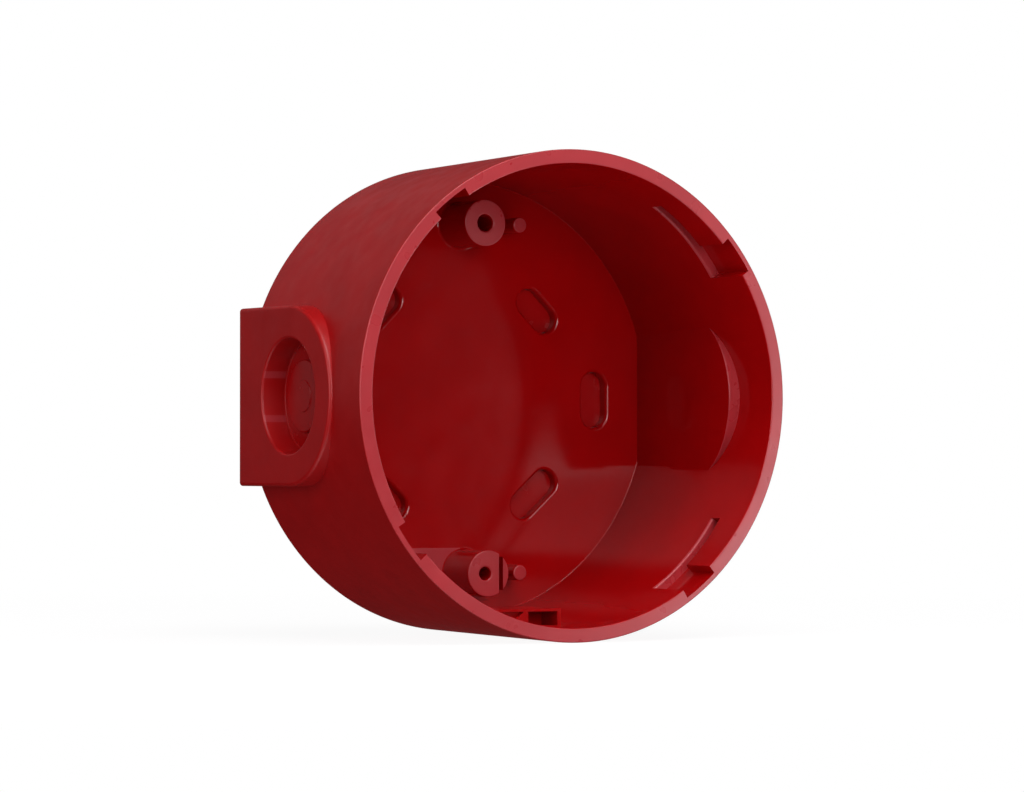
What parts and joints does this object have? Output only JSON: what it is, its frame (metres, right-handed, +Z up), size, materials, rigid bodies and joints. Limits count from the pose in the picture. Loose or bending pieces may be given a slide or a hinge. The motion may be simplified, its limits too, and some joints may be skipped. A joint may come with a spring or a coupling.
{
  "type": "deep mounting base for a round horn strobe",
  "caption": "Round red moulded back box for a wall or ceiling horn strobe, with conduit entries, fixing slots and a bayonet rim.",
  "frame": {"origin": "centre of the round box on its back (wall) face", "axes": "the back lies in the plane y = 0 and the open front faces -Y; +Z is up on the wall; the conduit entries point along -X and +X"},
  "size_m": [0.0938, 0.0485, 0.093],
  "materials": {
    "red_moulding": "satin outside, glossy inside",
    "red_web": "gloss"
  },
  "bodies": {
    "back_box": {"back_box_shell": "red_moulding"},
    "left_entry_knockout_body": {"left_entry_knockout": "red_web"},
    "right_entry_knockout_body": {"right_entry_knockout": "red_web"},
    "right_slot_web_body": {"right_slot_web": "red_web"},
    "upper_right_slot_web_body": {"upper_right_slot_web": "red_web"},
    "upper_left_slot_web_body": {"upper_left_slot_web": "red_web"},
    "left_slot_web_body": {"left_slot_web": "red_web"},
    "lower_left_slot_web_body": {"lower_left_slot_web": "red_web"},
    "lower_right_slot_web_body": {"lower_right_slot_web": "red_web"}
  },
  "joints": [
    {"name": "left_entry_knockout_break_in", "type": "slide", "parent": "back_box", "child": "left_entry_knockout_body", "axis": [1, 0, 0], "range_m": [0, 0.012]},
    {"name": "right_entry_knockout_break_in", "type": "slide", "parent": "back_box", "child": "right_entry_knockout_body", "axis": [-1, 0, 0], "range_m": [0, 0.012]},
    {"name": "right_slot_web_break_in", "type": "slide", "parent": "back_box", "child": "right_slot_web_body", "axis": [0, -1, 0], "range_m": [0, 0.008]},
    {"name": "upper_right_slot_web_break_in", "type": "slide", "parent": "back_box", "child": "upper_right_slot_web_body", "axis": [0, -1, 0], "range_m": [0, 0.008]},
    {"name": "upper_left_slot_web_break_in", "type": "slide", "parent": "back_box", "child": "upper_left_slot_web_body", "axis": [0, -1, 0], "range_m": [0, 0.008]},
    {"name": "left_slot_web_break_in", "type": "slide", "parent": "back_box", "child": "left_slot_web_body", "axis": [0, -1, 0], "range_m": [0, 0.008]},
    {"name": "lower_left_slot_web_break_in", "type": "slide", "parent": "back_box", "child": "lower_left_slot_web_body", "axis": [0, -1, 0], "range_m": [0, 0.008]},
    {"name": "lower_right_slot_web_break_in", "type": "slide", "parent": "back_box", "child": "lower_right_slot_web_body", "axis": [0, -1, 0], "range_m": [0, 0.008]}
  ]
}
